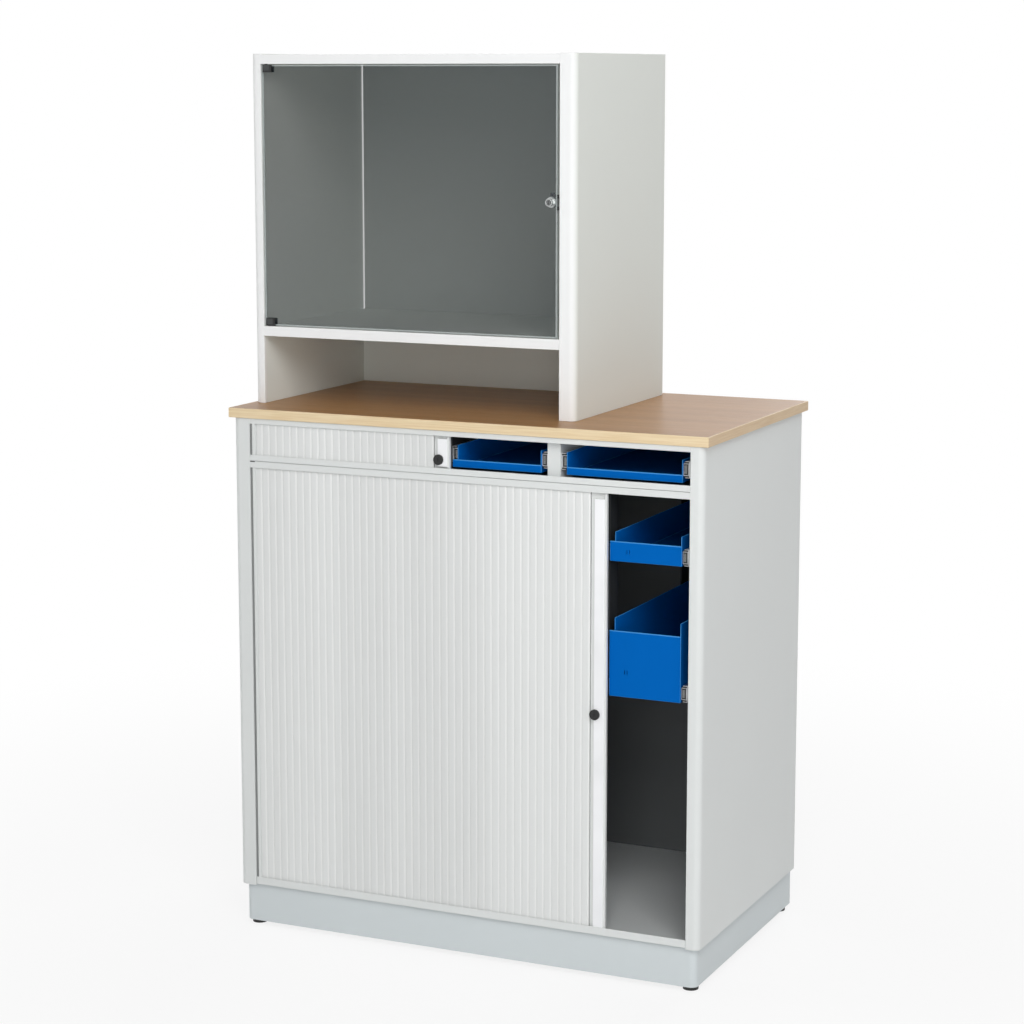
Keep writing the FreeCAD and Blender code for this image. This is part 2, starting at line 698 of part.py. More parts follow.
def drawer(name, left_mount, right_mount, low, front_height, side_height, slide_middle, cheek, slot):
    """A folded tray on a pair of telescopic slides, with a front lower than its sides."""
    outer_x = (left_mount + " + slide_width", right_mount + " - slide_width")
    inner_x = (outer_x[0] + " + tray_gauge", outer_x[1] + " - tray_gauge")
    front = "-drawer_front"
    back = "drawer_depth - drawer_front"
    side_top = "%s + %s" % (low, side_height)
    front_top = "%s + %s" % (low, front_height)
    solid = box(name + "_outside", outer_x, (front, back), (low, side_top))
    room = box(name + "_room", inner_x, (front + " + tray_gauge", back + " - tray_gauge"),
               (low + " + tray_gauge", side_top))
    above_front = box(name + "_above_front", inner_x, (front, front + " + tray_gauge"), (front_top, side_top))
    tools = [room, above_front]
    slot_start = front + " + side_slot_place"
    for place in ("side_slot_low", "side_slot_high"):
        start = "%s + %s" % (low, place)
        tools.append(box("%s_%s" % (name, place), outer_x, (slot_start, slot_start + " + side_slot_width"),
                         (start, "%s + %s_height" % (start, place))))
    if slot:
        slot_x, slot_z = slot
        for number in range(2):
            start = "%s + %d * slot_step" % (slot_x, number)
            tools.append(box("%s_slot_%d" % (name, number), (start, start + " + slot_width"),
                             (front, front + " + tray_gauge"),
                             (slot_z + " - slot_height / 2", slot_z + " + slot_height / 2")))
    tray = cut(name + "_tray_shell", solid, tools)
    if cheek:
        tab = box(name + "_cheek", (cheek + " + cheek_play", outer_x[0]), (front, front + " + tray_gauge"),
                  (low, front_top))
        tray = joined(name + "_tray_with_cheek", [tray, tab])
    keep(tray, name + "_tray")
    left = slide_members(name, "left", left_mount, slide_middle)
    right = slide_members(name, "right", right_mount, slide_middle)
    for member, pair in zip(("fixed", "middle", "inner"), zip(left, right)):
        keep(joined("%s_%s_pair" % (name, member), list(pair)), "%s_slide_%s" % (name, member))


drawer("middle_drawer", "row_divider_right", "row_post_left", "row_tray_low", "row_front_height",
       "row_side_height", "row_slide_middle", "upper_bar_right", None)
drawer("right_drawer", post_right, "right_rack", "row_tray_low", "row_front_height",
       "row_side_height", "row_slide_middle", None, None)
drawer("shallow_drawer", "hanger_right", "right_rack", "shallow_low", "shallow_front_height",
       "shallow_side_height", "shallow_slide_middle", "lower_bar_right",
       ("lower_bar_right + shallow_slot", "shallow_low + shallow_front_height / 2"))
drawer("deep_drawer", "hanger_right", "right_rack", "deep_low", "deep_front_height",
       "deep_side_height", "deep_slide_middle", "lower_bar_right",
       ("lower_bar_right + deep_slot", "deep_low + deep_front_height * 0.38"))

# Monitor housing: hollow sides with a rounded front edge, closed on top and open behind the back panels
housing_front = "-housing_front"
panel_front = "housing_back - panel_setback"
panel_y = (panel_front, panel_front + " + steel_gauge")
board_top = "housing_top - top_step"
board_low = board_top + " - board_height"
for side, sign, outer, wall in (("left", -1, "housing_left", "left_wall"),
                                ("right", 1, "housing_right", "right_wall")):
    inner = "%s %s %s" % (outer, "+" if sign < 0 else "-", wall)
    body = new_body("housing_%s_body" % side, "worktop_height")
    corners = [(outer, housing_front), (inner, housing_front),
               (inner, "housing_back"), (outer, "housing_back")]
    plan = outline(body, "housing_%s_plan" % side, "XY_Plane", corners)
    pad = padded(body, plan, "housing_top - worktop_height")
    edge = (value(outer), -value("housing_front"))
    rounded(body, pad, "housing_radius", [edge])
    inset = (outer + (" + " if sign < 0 else " - ") + "steel_gauge",
             inner + (" - " if sign < 0 else " + ") + "steel_gauge")
    room_x = inset if sign < 0 else inset[::-1]
    room_y = (housing_front + " + housing_radius", "housing_back - steel_gauge")
    room = box("housing_%s_room" % side, room_x, room_y, ("worktop_height", "housing_top - steel_gauge"))
    rear_x = (inset[0], inner) if sign < 0 else (inner, inset[0])
    rear = box("housing_%s_rear" % side, rear_x, (panel_y[1], "housing_back"), ("worktop_height", board_low))
    keep(cut("housing_%s_shell" % side, body, [room, rear]), "housing_%s_side" % side)

bay_x = ("housing_left + left_wall", "housing_right - right_wall")
shelf_low = "shelf_top - shelf_height"
pivot_x = "housing_left + left_wall + pivot_inset"
glass_front = "-housing_front + door_setback"
glass_y = (glass_front, glass_front + " + glass_thickness")
pivot_y = glass_front + " + glass_thickness / 2"


def board(name, depth, height, pin_start):
    """A hollow board between the housing's sides, with a hole for a hinge pin."""
    solid = box(name + "_outside", bay_x, depth, height)
    room = box(name + "_room", bay_x, (depth[0] + " + steel_gauge", depth[1] + " - steel_gauge"),
               (height[0] + " + steel_gauge", height[1] + " - steel_gauge"))
    hole = cylinder(name + "_pin_hole", "pin_diameter + 2 * pin_play", "pin_length + 2 * pin_room",
                    (pivot_x, pivot_y, pin_start))
    return cut(name + "_shell", solid, [room, hole])


top_depth = (housing_front, "housing_back")
shelf_depth = (housing_front, panel_front)
keep(board("top_board", top_depth, (board_low, board_top), board_low + " - pin_room"), "housing_top")
shelf_pin = "shelf_top - pin_length - pin_room"
keep(board("shelf_board", shelf_depth, (shelf_low, "shelf_top"), shelf_pin), "housing_shelf")
panel_x = (bay_x[0] + " + panel_slit", bay_x[1])
keep(box("back_sheet_high", panel_x, panel_y, ("shelf_top", board_low)), "housing_back")
keep(box("back_sheet_low", bay_x, panel_y, ("worktop_height", "shelf_top")), "niche_back")

# Glass door with a hole for its lock, clamped by two hinges at the left
glass_x = (bay_x[0] + " + glass_side_gap", bay_x[1] + " - strike_room")
glass_z = ("shelf_top + glass_gap", board_low + " - glass_gap")
lock_x, lock_z = "door_lock_across", "door_lock_height"
sleeve_diameter = "door_lock_diameter - door_lock_nut"
drill_start = (lock_x, glass_front + " - 3 * glass_thickness", lock_z)
drill_length = "6 * glass_thickness"
glass_hole = cylinder("glass_hole", sleeve_diameter, drill_length, drill_start, "y")
keep(cut("glass", box("pane", glass_x, glass_y, glass_z), [glass_hole]), "glass_door")

clamp_x = (bay_x[0] + " + clamp_inset", bay_x[0] + " + clamp_inset + clamp_width")
clamp_y = (pivot_y + " - clamp_depth / 2", pivot_y + " + clamp_depth / 2")
clamp_parts = []
top_clamp_z = (board_low + " - clamp_gap - clamp_height", board_low + " - clamp_gap")
bottom_clamp_z = ("shelf_top + clamp_gap", "shelf_top + clamp_gap + clamp_height")
for place, clamp_z, pin_z in (("top", top_clamp_z, board_low + " - pin_grip"),
                              ("bottom", bottom_clamp_z, "shelf_top + pin_grip - pin_length")):
    block = box("clamp_block_" + place, clamp_x, clamp_y, clamp_z)
    pin = cylinder("clamp_pin_" + place, "pin_diameter", "pin_length", (pivot_x, pivot_y, pin_z))
    slot = box("clamp_slot_" + place, clamp_x, glass_y, glass_z)
    clamp_parts.append(cut("clamp_piece_" + place, joined("clamp_pinned_" + place, [block, pin]), [slot]))
keep(joined("clamps", clamp_parts), "door_clamps")

# Door lock: a flanged barrel through the glass, a plug with a cam that points up at rest, and a strike
flange_front = glass_front + " - door_lock_flange"
flange = cylinder("lock_flange", "door_lock_diameter", "door_lock_flange",
                  (lock_x, flange_front, lock_z), "y")
barrel_front = flange_front + " - door_barrel_length"
barrel = cylinder("lock_barrel", "door_barrel_diameter", "door_barrel_length",
                  (lock_x, barrel_front, lock_z), "y")
sleeve = cylinder("lock_sleeve", sleeve_diameter, "glass_thickness + door_lock_nut",
                  (lock_x, glass_front, lock_z), "y")
ring_nut = cylinder("lock_nut", "door_lock_diameter + door_lock_nut", "door_lock_nut",
                    (lock_x, glass_y[1], lock_z), "y")
plug_bore = cylinder("lock_bore", "door_plug_diameter + 2 * plug_play", drill_length, drill_start, "y")
lock_solid = joined("lock_body_solid", [barrel, flange, sleeve, ring_nut])
keep(cut("lock_body", lock_solid, [plug_bore]), "door_lock_body")

cam_front = glass_y[1] + " + door_lock_nut + door_lock_play"
plug_front = barrel_front + " - door_lock_play"
plug = cylinder("lock_plug", "door_plug_diameter", "%s - (%s)" % (cam_front, plug_front),
                (lock_x, plug_front, lock_z), "y")
cam = box("plug_cam", (lock_x + " - door_cam_width / 2", lock_x + " + door_cam_width / 2"),
          (cam_front, cam_front + " + door_cam_thickness"),
          (lock_z + " - door_cam_width / 2", lock_z + " + door_cam_length"))
plug_slot = box("plug_slot", (lock_x + " - plug_slot_width / 2", lock_x + " + plug_slot_width / 2"),
                (plug_front, plug_front + " + plug_slot_depth"),
                (lock_z + " - plug_slot_height / 2", lock_z + " + plug_slot_height / 2"))
keep(cut("plug", joined("plug_solid", [plug, cam]), [plug_slot]), "door_lock_plug")

# The strike's pocket takes the cam from above, through a notch in its front lip
strike_x = (bay_x[1] + " - strike_width", bay_x[1])
strike_z = (lock_z + " - strike_height / 2", lock_z + " + strike_height / 2")
pocket_front = cam_front + " - strike_front_room"
strike_front = housing_front + " + strike_setback"
strike_block = box("strike_block", strike_x, (strike_front, cam_front + " + strike_back"), strike_z)
strike_pocket = box("strike_pocket", strike_x, (pocket_front, cam_front + " + strike_back_room"),
                    (strike_z[0] + " + strike_lip", strike_z[1] + " + strike_lip"))
strike_notch = box("strike_notch_block", (strike_x[0], strike_x[0] + " + strike_width / 2"),
                   (strike_front, pocket_front),
                   (lock_z + " - strike_notch / 2", lock_z + " + strike_notch / 2"))
keep(cut("strike", strike_block, [strike_pocket, strike_notch]), "door_strike")

# Screws that hold the back panels
heads = []
base_levels = (("low", "base_bottom + base_screw_inset"),
               ("high", BENCH_LOW + " - base_screw_inset"))
for number, across in enumerate((-0.46, -0.16, 0.16, 0.46)):
    for level, height in base_levels:
        heads.append(cylinder("base_screw_%s_%d" % (level, number), "screw_diameter", "screw_head",
                              ("base_width * (%g)" % across, "base_back", height), "y"))
housing_levels = (("low", "worktop_height + housing_screw_inset"),
                  ("middle", "shelf_top + housing_screw_inset"),
                  ("high", board_low + " - housing_screw_inset"))
for number, share in enumerate((0.04, 0.5, 0.96)):
    across = "%s + (%s - (%s)) * %g" % (bay_x[0], bay_x[1], bay_x[0], share)
    for level, height in housing_levels:
        heads.append(cylinder("housing_screw_%s_%d" % (level, number), "screw_diameter", "screw_head",
                              (across, panel_y[1], height), "y"))
keep(joined("back_screws", heads), "back_panel_screws")

doc.recompute()

# Nothing is written unless every object is sound
for thing in doc.Objects:
    if "Invalid" in thing.State or "Error" in thing.State:
        raise RuntimeError("failed object: " + thing.Label)
for piece in sub_parts:
    if piece.Shape.isNull() or not piece.Shape.isValid() or not piece.Shape.Solids:
        raise RuntimeError("bad shape: " + piece.Label)

os.makedirs("parts", exist_ok=True)
for piece in sub_parts:
    piece.Shape.exportStep(os.path.join("parts", piece.Label + ".step"))
print(len(sub_parts), "parts written")
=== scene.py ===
import json
import math

import bmesh
import bpy
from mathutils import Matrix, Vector


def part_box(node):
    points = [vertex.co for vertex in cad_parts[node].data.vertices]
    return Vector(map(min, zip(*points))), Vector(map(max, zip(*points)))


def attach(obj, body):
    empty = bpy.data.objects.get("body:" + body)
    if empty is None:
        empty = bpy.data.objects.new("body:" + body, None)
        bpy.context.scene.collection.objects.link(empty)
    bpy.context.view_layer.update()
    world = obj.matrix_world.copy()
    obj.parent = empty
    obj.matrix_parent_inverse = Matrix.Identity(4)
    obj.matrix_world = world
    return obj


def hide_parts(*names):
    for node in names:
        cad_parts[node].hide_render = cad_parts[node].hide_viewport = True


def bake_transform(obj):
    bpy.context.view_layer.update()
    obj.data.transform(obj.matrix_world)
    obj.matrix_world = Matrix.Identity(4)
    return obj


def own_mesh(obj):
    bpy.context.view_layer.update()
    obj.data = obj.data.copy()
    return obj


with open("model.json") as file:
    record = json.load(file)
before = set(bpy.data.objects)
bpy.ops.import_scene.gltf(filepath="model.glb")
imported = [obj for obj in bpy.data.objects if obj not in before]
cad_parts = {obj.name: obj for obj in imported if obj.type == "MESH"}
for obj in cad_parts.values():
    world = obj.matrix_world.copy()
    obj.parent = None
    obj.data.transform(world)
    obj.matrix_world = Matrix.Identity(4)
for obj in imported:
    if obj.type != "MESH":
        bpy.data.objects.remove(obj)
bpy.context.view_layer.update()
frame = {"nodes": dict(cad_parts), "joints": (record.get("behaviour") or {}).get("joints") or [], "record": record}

MM = 0.001
FULL_TURN = math.radians(360)
NODE_BODY = {node: body for body, members in frame["record"]["behaviour"]["bodies"].items()
             for node in members}
NODE_SLOT = {part["node"]: part["material_slot"] for part in frame["record"]["subparts"]}
JOINTS = {joint["name"]: joint for joint in frame["joints"]}
LEVELS = ("upper", "lower")
DRAWERS = ("middle_drawer", "right_drawer", "shallow_drawer", "deep_drawer")

# Colours as written in sRGB, 0 to 255
SRGB_TOP = 255
STRAIGHT_END = 0.04045
STRAIGHT_SLOPE = 12.92
CURVE_OFFSET = 0.055
CURVE_POWER = 2.4
WHITE = (1, 1, 1, 1)


def srgb(red, green, blue):
    """The linear colour, with alpha, of three sRGB values."""
    linear = []
    for level in (red, green, blue):
        share = level / SRGB_TOP
        if share <= STRAIGHT_END:
            linear.append(share / STRAIGHT_SLOPE)
        else:
            linear.append(((share + CURVE_OFFSET) / (1 + CURVE_OFFSET)) ** CURVE_POWER)
    return (*linear, 1.0)


# Camera: place in metres, angles in degrees, lens and sensor in millimetres
CAMERA_PLACE = (2.0768, -4.5656, 1.6962)
CAMERA_PITCH = 8.84
CAMERA_YAW = 24.67
CAMERA_LENS = 89.87
CAMERA_SENSOR = 36
CAMERA_SHIFT = -0.04

camera = bpy.data.objects.new("camera", bpy.data.cameras.new("camera"))
camera.data.lens = CAMERA_LENS
camera.data.sensor_width = CAMERA_SENSOR
camera.data.shift_y = CAMERA_SHIFT
camera.location = CAMERA_PLACE
camera.rotation_euler = (math.radians(90 - CAMERA_PITCH), 0, math.radians(CAMERA_YAW))
bpy.context.scene.collection.objects.link(camera)
bpy.context.scene.camera = camera
bpy.context.scene.view_settings.view_transform = "Standard"


# Shader helpers
def add_node(tree, kind, inputs=None, **settings):
    """A shader node with its settings and unlinked inputs given by name."""
    made = tree.nodes.new(kind)
    for name, setting in settings.items():
        setattr(made, name, setting)
    for name, value in (inputs or {}).items():
        made.inputs[name].default_value = value
    return made


def seen_directly(tree):
    """1 for rays that show a surface itself, in view, in a mirror or through glass, and 0 for its light."""
    path = add_node(tree, "ShaderNodeLightPath")
    either = add_node(tree, "ShaderNodeMath", operation="MAXIMUM")
    tree.links.new(path.outputs["Is Camera Ray"], either.inputs[0])
    tree.links.new(path.outputs["Is Glossy Ray"], either.inputs[1])
    any_ray = add_node(tree, "ShaderNodeMath", operation="MAXIMUM")
    tree.links.new(either.outputs[0], any_ray.inputs[0])
    tree.links.new(path.outputs["Is Transmission Ray"], any_ray.inputs[1])
    return any_ray.outputs[0]


def mixed_shader(tree, share, first, second, out):
    """Shows the first shader where a share is 0 and the second where it is 1."""
    mix = add_node(tree, "ShaderNodeMixShader")
    tree.links.new(share, mix.inputs["Fac"])
    tree.links.new(first.outputs[0], mix.inputs[1])
    tree.links.new(second.outputs[0], mix.inputs[2])
    tree.links.new(mix.outputs[0], out.inputs["Surface"])


# World: white to look at, soft grey as a light
AMBIENT = 0.24

world = bpy.data.worlds.new("studio")
bpy.context.scene.world = world
world.use_nodes = True
sky = world.node_tree
sky.nodes.clear()
ambient = add_node(sky, "ShaderNodeBackground", {"Color": WHITE, "Strength": AMBIENT})
backdrop = add_node(sky, "ShaderNodeBackground", {"Color": WHITE, "Strength": 1.0})
sky_out = add_node(sky, "ShaderNodeOutputWorld")
mixed_shader(sky, seen_directly(sky), ambient, backdrop, sky_out)

# Lamps, all turned to the middle of the desk
DESK_MIDDLE = Vector((0, 0, 0.95))


def soft_lamp(name, place, size, power):
    """A square lamp."""
    lamp = bpy.data.objects.new(name, bpy.data.lights.new(name, "AREA"))
    lamp.data.size = size
    lamp.data.energy = power
    lamp.location = place
    lamp.rotation_euler = (DESK_MIDDLE - Vector(place)).to_track_quat("-Z", "Y").to_euler()
    bpy.context.scene.collection.objects.link(lamp)


soft_lamp("front_lamp", (2.1, -3.3, 3.5), size=2.4, power=104)
soft_lamp("low_lamp", (1.6, -4.8, 1.25), size=2.0, power=45)
soft_lamp("right_lamp", (4.2, -1.8, 1.5), size=2.0, power=16)
soft_lamp("left_lamp", (-4.2, -0.6, 2.8), size=2.4, power=50)
soft_lamp("back_lamp", (0.4, 4.2, 3.2), size=2.6, power=90)

# Floor: pale, whiter with distance, with the desk's shadow on it
FLOOR_HALF = 9.0
FLOOR_GREY = (0.8, 0.8, 0.8, 1)
FLOOR_WHITENING = 0.84
WHITE_FROM, WHITE_AT = 0.6, 2.6


def floor_material():
    material = bpy.data.materials.new("studio_floor")
    material.use_nodes = True
    tree = material.node_tree
    tree.nodes.clear()
    place = add_node(tree, "ShaderNodeTexCoord")
    distance = add_node(tree, "ShaderNodeVectorMath", operation="LENGTH")
    tree.links.new(place.outputs["Object"], distance.inputs[0])
    whitening = add_node(tree, "ShaderNodeMapRange",
                         {"From Min": WHITE_FROM, "From Max": WHITE_AT, "To Min": FLOOR_WHITENING,
                          "To Max": 1.0}, interpolation_type="SMOOTHSTEP")
    tree.links.new(distance.outputs["Value"], whitening.inputs["Value"])
    share = add_node(tree, "ShaderNodeMath", operation="MULTIPLY")
    tree.links.new(whitening.outputs["Result"], share.inputs[0])
    tree.links.new(seen_directly(tree), share.inputs[1])
    matt = add_node(tree, "ShaderNodeBsdfDiffuse", {"Color": FLOOR_GREY})
    white = add_node(tree, "ShaderNodeEmission", {"Color": WHITE, "Strength": 1.0})
    out = add_node(tree, "ShaderNodeOutputMaterial")
    mixed_shader(tree, share.outputs[0], matt, white, out)
    return material


floor_mesh = bpy.data.meshes.new("floor")
floor_mesh.from_pydata([(-FLOOR_HALF, -FLOOR_HALF, 0), (FLOOR_HALF, -FLOOR_HALF, 0),
                        (FLOOR_HALF, FLOOR_HALF, 0), (-FLOOR_HALF, FLOOR_HALF, 0)], [], [(0, 1, 2, 3)])
floor_mesh.materials.append(floor_material())
floor = bpy.data.objects.new("floor", floor_mesh)
bpy.context.scene.collection.objects.link(floor)

# Material helpers: noise keeps mostly between its low and high level, and its scale is per metre
NOISE_LOW, NOISE_HIGH = 0.35, 0.65
NOISE_DETAIL = 2.0
EVEN = (1, 1, 1)


def new_material(name, **sockets):
    """A material, its tree and its shader, with the plain values of some of the shader's sockets."""
    material = bpy.data.materials.new(name)
    material.use_nodes = True
    tree = material.node_tree
    shader = tree.nodes["Principled BSDF"]
    for socket, value in sockets.items():
        shader.inputs[socket.replace("_", " ")].default_value = value
    return material, tree, shader


def noise(tree, scale, stretch=EVEN, detail=NOISE_DETAIL):
    """Noise over the object's own coordinates, stretched along its axes."""
    place = add_node(tree, "ShaderNodeTexCoord")
    mapping = add_node(tree, "ShaderNodeMapping", {"Scale": stretch})
    texture = add_node(tree, "ShaderNodeTexNoise", {"Scale": scale, "Detail": detail})
    tree.links.new(place.outputs["Object"], mapping.inputs["Vector"])
    tree.links.new(mapping.outputs["Vector"], texture.inputs["Vector"])
    return texture.outputs["Fac"]


def ranged(tree, source, low=0.0, high=1.0, start=NOISE_LOW, end=NOISE_HIGH):
    """A source from start to end, spread from low to high."""
    spread = add_node(tree, "ShaderNodeMapRange",
                      {"From Min": start, "From Max": end, "To Min": low, "To Max": high})
    tree.links.new(source, spread.inputs["Value"])
    return spread.outputs["Result"]


def mixed_colour(tree, share, first, second):
    """From the first colour to the second, by a share; a colour may be a socket."""
    mix = add_node(tree, "ShaderNodeMix", data_type="RGBA")
    tree.links.new(share, mix.inputs["Factor"])
    for name, colour in (("A", first), ("B", second)):
        socket = next(i for i in mix.inputs if i.name == name and i.type == "RGBA")
        if isinstance(colour, tuple):
            socket.default_value = colour
        else:
            tree.links.new(colour, socket)
    return next(o for o in mix.outputs if o.type == "RGBA")


def coloured(tree, shader, share, first, second):
    """The shader's colour, from the first to the second by a share."""
    tree.links.new(mixed_colour(tree, share, first, second), shader.inputs["Base Color"])


def roughened(tree, shader, source, smooth, dull):
    """The shader's roughness, from smooth to dull with a source's noise."""
    tree.links.new(ranged(tree, source, smooth, dull), shader.inputs["Roughness"])


def bumped(tree, shader, source, strength, height):
    """A bump on the shader from a source's noise."""
    bump = add_node(tree, "ShaderNodeBump", {"Strength": strength, "Distance": height})
    tree.links.new(source, bump.inputs["Height"])
    tree.links.new(bump.outputs["Normal"], shader.inputs["Normal"])


def shaded(colour, share):
    """A colour made lighter or darker."""
    return (*(min(1.0, level * share) for level in colour[:3]), 1.0)


# Paints
CLOUD_SCALE = 2.5
CLOUD_DETAIL = 3.0
CLOUD_SHADE = 0.008
PEEL_SCALE = 650.0
PEEL_DETAIL = 1.5
PEEL_STRENGTH = 0.25
PEEL_HEIGHT = 0.12 * MM
PEEL_SMOOTHER, PEEL_DULLER = 0.05, 0.06
SATIN = 0.42
MATT = 0.5


def powder_coat(name, colour, roughness=SATIN, **sockets):
    """Sprayed and baked paint: a fine orange peel and a hardly visible unevenness."""
    material, tree, shader = new_material(name, **sockets)
    clouds = ranged(tree, noise(tree, CLOUD_SCALE, detail=CLOUD_DETAIL))
    coloured(tree, shader, clouds, shaded(colour, 1 - CLOUD_SHADE), shaded(colour, 1 + CLOUD_SHADE))
    peel = noise(tree, PEEL_SCALE, detail=PEEL_DETAIL)
    roughened(tree, shader, peel, roughness - PEEL_SMOOTHER, roughness + PEEL_DULLER)
    bumped(tree, shader, peel, PEEL_STRENGTH, PEEL_HEIGHT)
    return material


BASE_GREY = srgb(221, 224, 223)
# Painted shade: a dark grey for the parts inside the base, standing in for the shade there
INNER_SHADE_GREY = srgb(104, 107, 108)
# Near-black paint on the inner frame: partly its own dark paint, partly painted shade for the dark bay
FRAME_BLACK_AND_SHADE = srgb(40, 42, 43)
PLINTH_GREY = srgb(208, 215, 217)
DRAWER_BLUE = srgb(0, 98, 184)
DRAWER_SHEEN = 0.03
# Painted highlight: a lighter blue for the drawers' rims and eased edges
RIM_HIGHLIGHT_BLUE = srgb(62, 146, 214)
RIM_ROUGHNESS = 0.36
RIM_SHEEN = 0.3

# The housing's paint, lighter on the front profile than behind it: partly two-tone paint, partly painted shade on
# the profile's rounding and the sides
HOUSING_WHITE = srgb(242, 243, 243)
HOUSING_GREY_AND_SHADE = srgb(229, 232, 227)
# Painted shade: a darker grey for the inside of the housing's back
HOUSING_BACK_SHADE_GREY = srgb(200, 204, 200)
HOUSING_ROUGHNESS = 0.52
HOUSING_SHEEN = 0.2
HOUSING_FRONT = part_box("housing_right_side")[0].y
# Painted shade: the grey begins just behind the front, so that the profile's rounding shows darker
PROFILE_DEPTH = 5 * MM
PROFILE_BLEND = 4 * MM


def housing_coat(name, colour):
    return powder_coat(name, colour, HOUSING_ROUGHNESS, Specular_IOR_Level=HOUSING_SHEEN)


def two_tone_and_shade_coat(name, front, rest):
    """The front's colour on the profile, and another behind it, which also paints the shade on the rounding and
    the sides.
    """
    material = housing_coat(name, front)
    tree = material.node_tree
    shader = tree.nodes["Principled BSDF"]
    front_colour = shader.inputs["Base Color"].links[0].from_socket
    place = add_node(tree, "ShaderNodeTexCoord")
    split = add_node(tree, "ShaderNodeSeparateXYZ")
    tree.links.new(place.outputs["Object"], split.inputs["Vector"])
    edge = HOUSING_FRONT + PROFILE_DEPTH
    behind = ranged(tree, split.outputs["Y"], start=edge - PROFILE_BLEND, end=edge + PROFILE_BLEND)
    coloured(tree, shader, behind, front_colour, rest)
    return material


# Plastics
PLASTIC_CLOUD_SCALE = 9.0
PLASTIC_SHADE = 0.04
PLASTIC_SPREAD = 0.06
FINE_GRAIN, FINE_STRENGTH = 900.0, 0.3
COARSE_GRAIN = 500.0
GRAIN_HEIGHT = 0.1 * MM
SLAT_ROUGHNESS = 0.36
SLAT_STRENGTH = 0.12
SLAT_STRETCH = (1, 1, 0.02)


def moulded_plastic(name, colour, roughness, scale=FINE_GRAIN, strength=FINE_STRENGTH, stretch=EVEN):
    """Moulded plastic with a fine grain."""
    material, tree, shader = new_material(name)
    clouds = ranged(tree, noise(tree, PLASTIC_CLOUD_SCALE, stretch))
    coloured(tree, shader, clouds, shaded(colour, 1 - PLASTIC_SHADE), shaded(colour, 1 + PLASTIC_SHADE))
    grain = noise(tree, scale, stretch)
    roughened(tree, shader, grain, roughness - PLASTIC_SPREAD, roughness + PLASTIC_SPREAD)
    bumped(tree, shader, grain, strength, GRAIN_HEIGHT)
    return material


def slat_plastic(name, colour):
    """Plastic with its grain drawn out along the slats' height."""
    return moulded_plastic(name, colour, SLAT_ROUGHNESS, COARSE_GRAIN, SLAT_STRENGTH, SLAT_STRETCH)


# Steel, chrome and nickel
METAL_DARKER, METAL_LIGHTER = 0.9, 1.05
METAL_DETAIL = 3.0
SCRATCHES_PER_PATCH = 4
SCRATCH_STRENGTH = 0.15
SCRATCH_HEIGHT = 0.05 * MM


def metal(name, colour, roughness, spread, scale):
    """Bare metal whose gloss varies over its plating."""
    material, tree, shader = new_material(name, Metallic=1.0)
    patches = noise(tree, scale, detail=METAL_DETAIL)
    coloured(tree, shader, ranged(tree, patches), shaded(colour, METAL_DARKER), shaded(colour, METAL_LIGHTER))
    roughened(tree, shader, patches, roughness - spread, roughness + spread)
    scratches = noise(tree, scale * SCRATCHES_PER_PATCH)
    bumped(tree, shader, scratches, SCRATCH_STRENGTH, SCRATCH_HEIGHT)
    return material


# Beech laminate with its grain along the desk's width
LAMINATE_DARK, LAMINATE_LIGHT = srgb(158, 114, 67), srgb(171, 126, 78)
LAMINATE_SHEEN = 0.26
LAMINATE_SMOOTH, LAMINATE_DULL = 0.3, 0.38
LAMINATE_STRENGTH = 0.08
FIGURE_SCALE, FIGURE_STRETCH, FIGURE_DETAIL = 5.0, (0.25, 6, 1), 4.0
PORE_BROWN = srgb(145, 99, 58)
PORE_SCALE, PORE_STRETCH, PORE_DETAIL = 60.0, (0.5, 14, 1), 3.0
PORE_START, PORE_END = 0.58, 0.72
GRAIN_STRETCH = (0.6, 14, 1)


def beech_laminate():
    material, tree, shader = new_material("beech_laminate", Specular_IOR_Level=LAMINATE_SHEEN)
    figure = ranged(tree, noise(tree, FIGURE_SCALE, FIGURE_STRETCH, FIGURE_DETAIL))
    base = mixed_colour(tree, figure, LAMINATE_DARK, LAMINATE_LIGHT)
    pores = ranged(tree, noise(tree, PORE_SCALE, PORE_STRETCH, PORE_DETAIL), start=PORE_START, end=PORE_END)
    coloured(tree, shader, pores, base, PORE_BROWN)
    grain = noise(tree, PORE_SCALE, GRAIN_STRETCH, PORE_DETAIL)
    roughened(tree, shader, grain, LAMINATE_SMOOTH, LAMINATE_DULL)
    bumped(tree, shader, grain, LAMINATE_STRENGTH, GRAIN_HEIGHT)
    return material


# Beech edging with its streaks along the edge; the ends of the worktop get a darker copy, painted shade
FRONT_EDGING_DARK, FRONT_EDGING_LIGHT = srgb(222, 197, 156), srgb(234, 214, 178)
END_SHADE_DARK, END_SHADE_LIGHT = srgb(204, 174, 134), srgb(215, 189, 153)
EDGING_SMOOTH, EDGING_DULL = 0.38, 0.48
EDGING_STRENGTH = 0.1
STREAK_SCALE, STREAK_STRETCH, STREAK_DETAIL = 10.0, (1.2, 1.2, 50), 3.0
EDGING_GRAIN, EDGING_STRETCH = 40.0, (1, 1, 30)


def beech_edging(name, dark, light):
    material, tree, shader = new_material(name)
    streaks = ranged(tree, noise(tree, STREAK_SCALE, STREAK_STRETCH, STREAK_DETAIL))
    coloured(tree, shader, streaks, dark, light)
    grain = noise(tree, EDGING_GRAIN, EDGING_STRETCH)
    roughened(tree, shader, grain, EDGING_SMOOTH, EDGING_DULL)
    bumped(tree, shader, grain, EDGING_STRENGTH, GRAIN_HEIGHT)
    return material


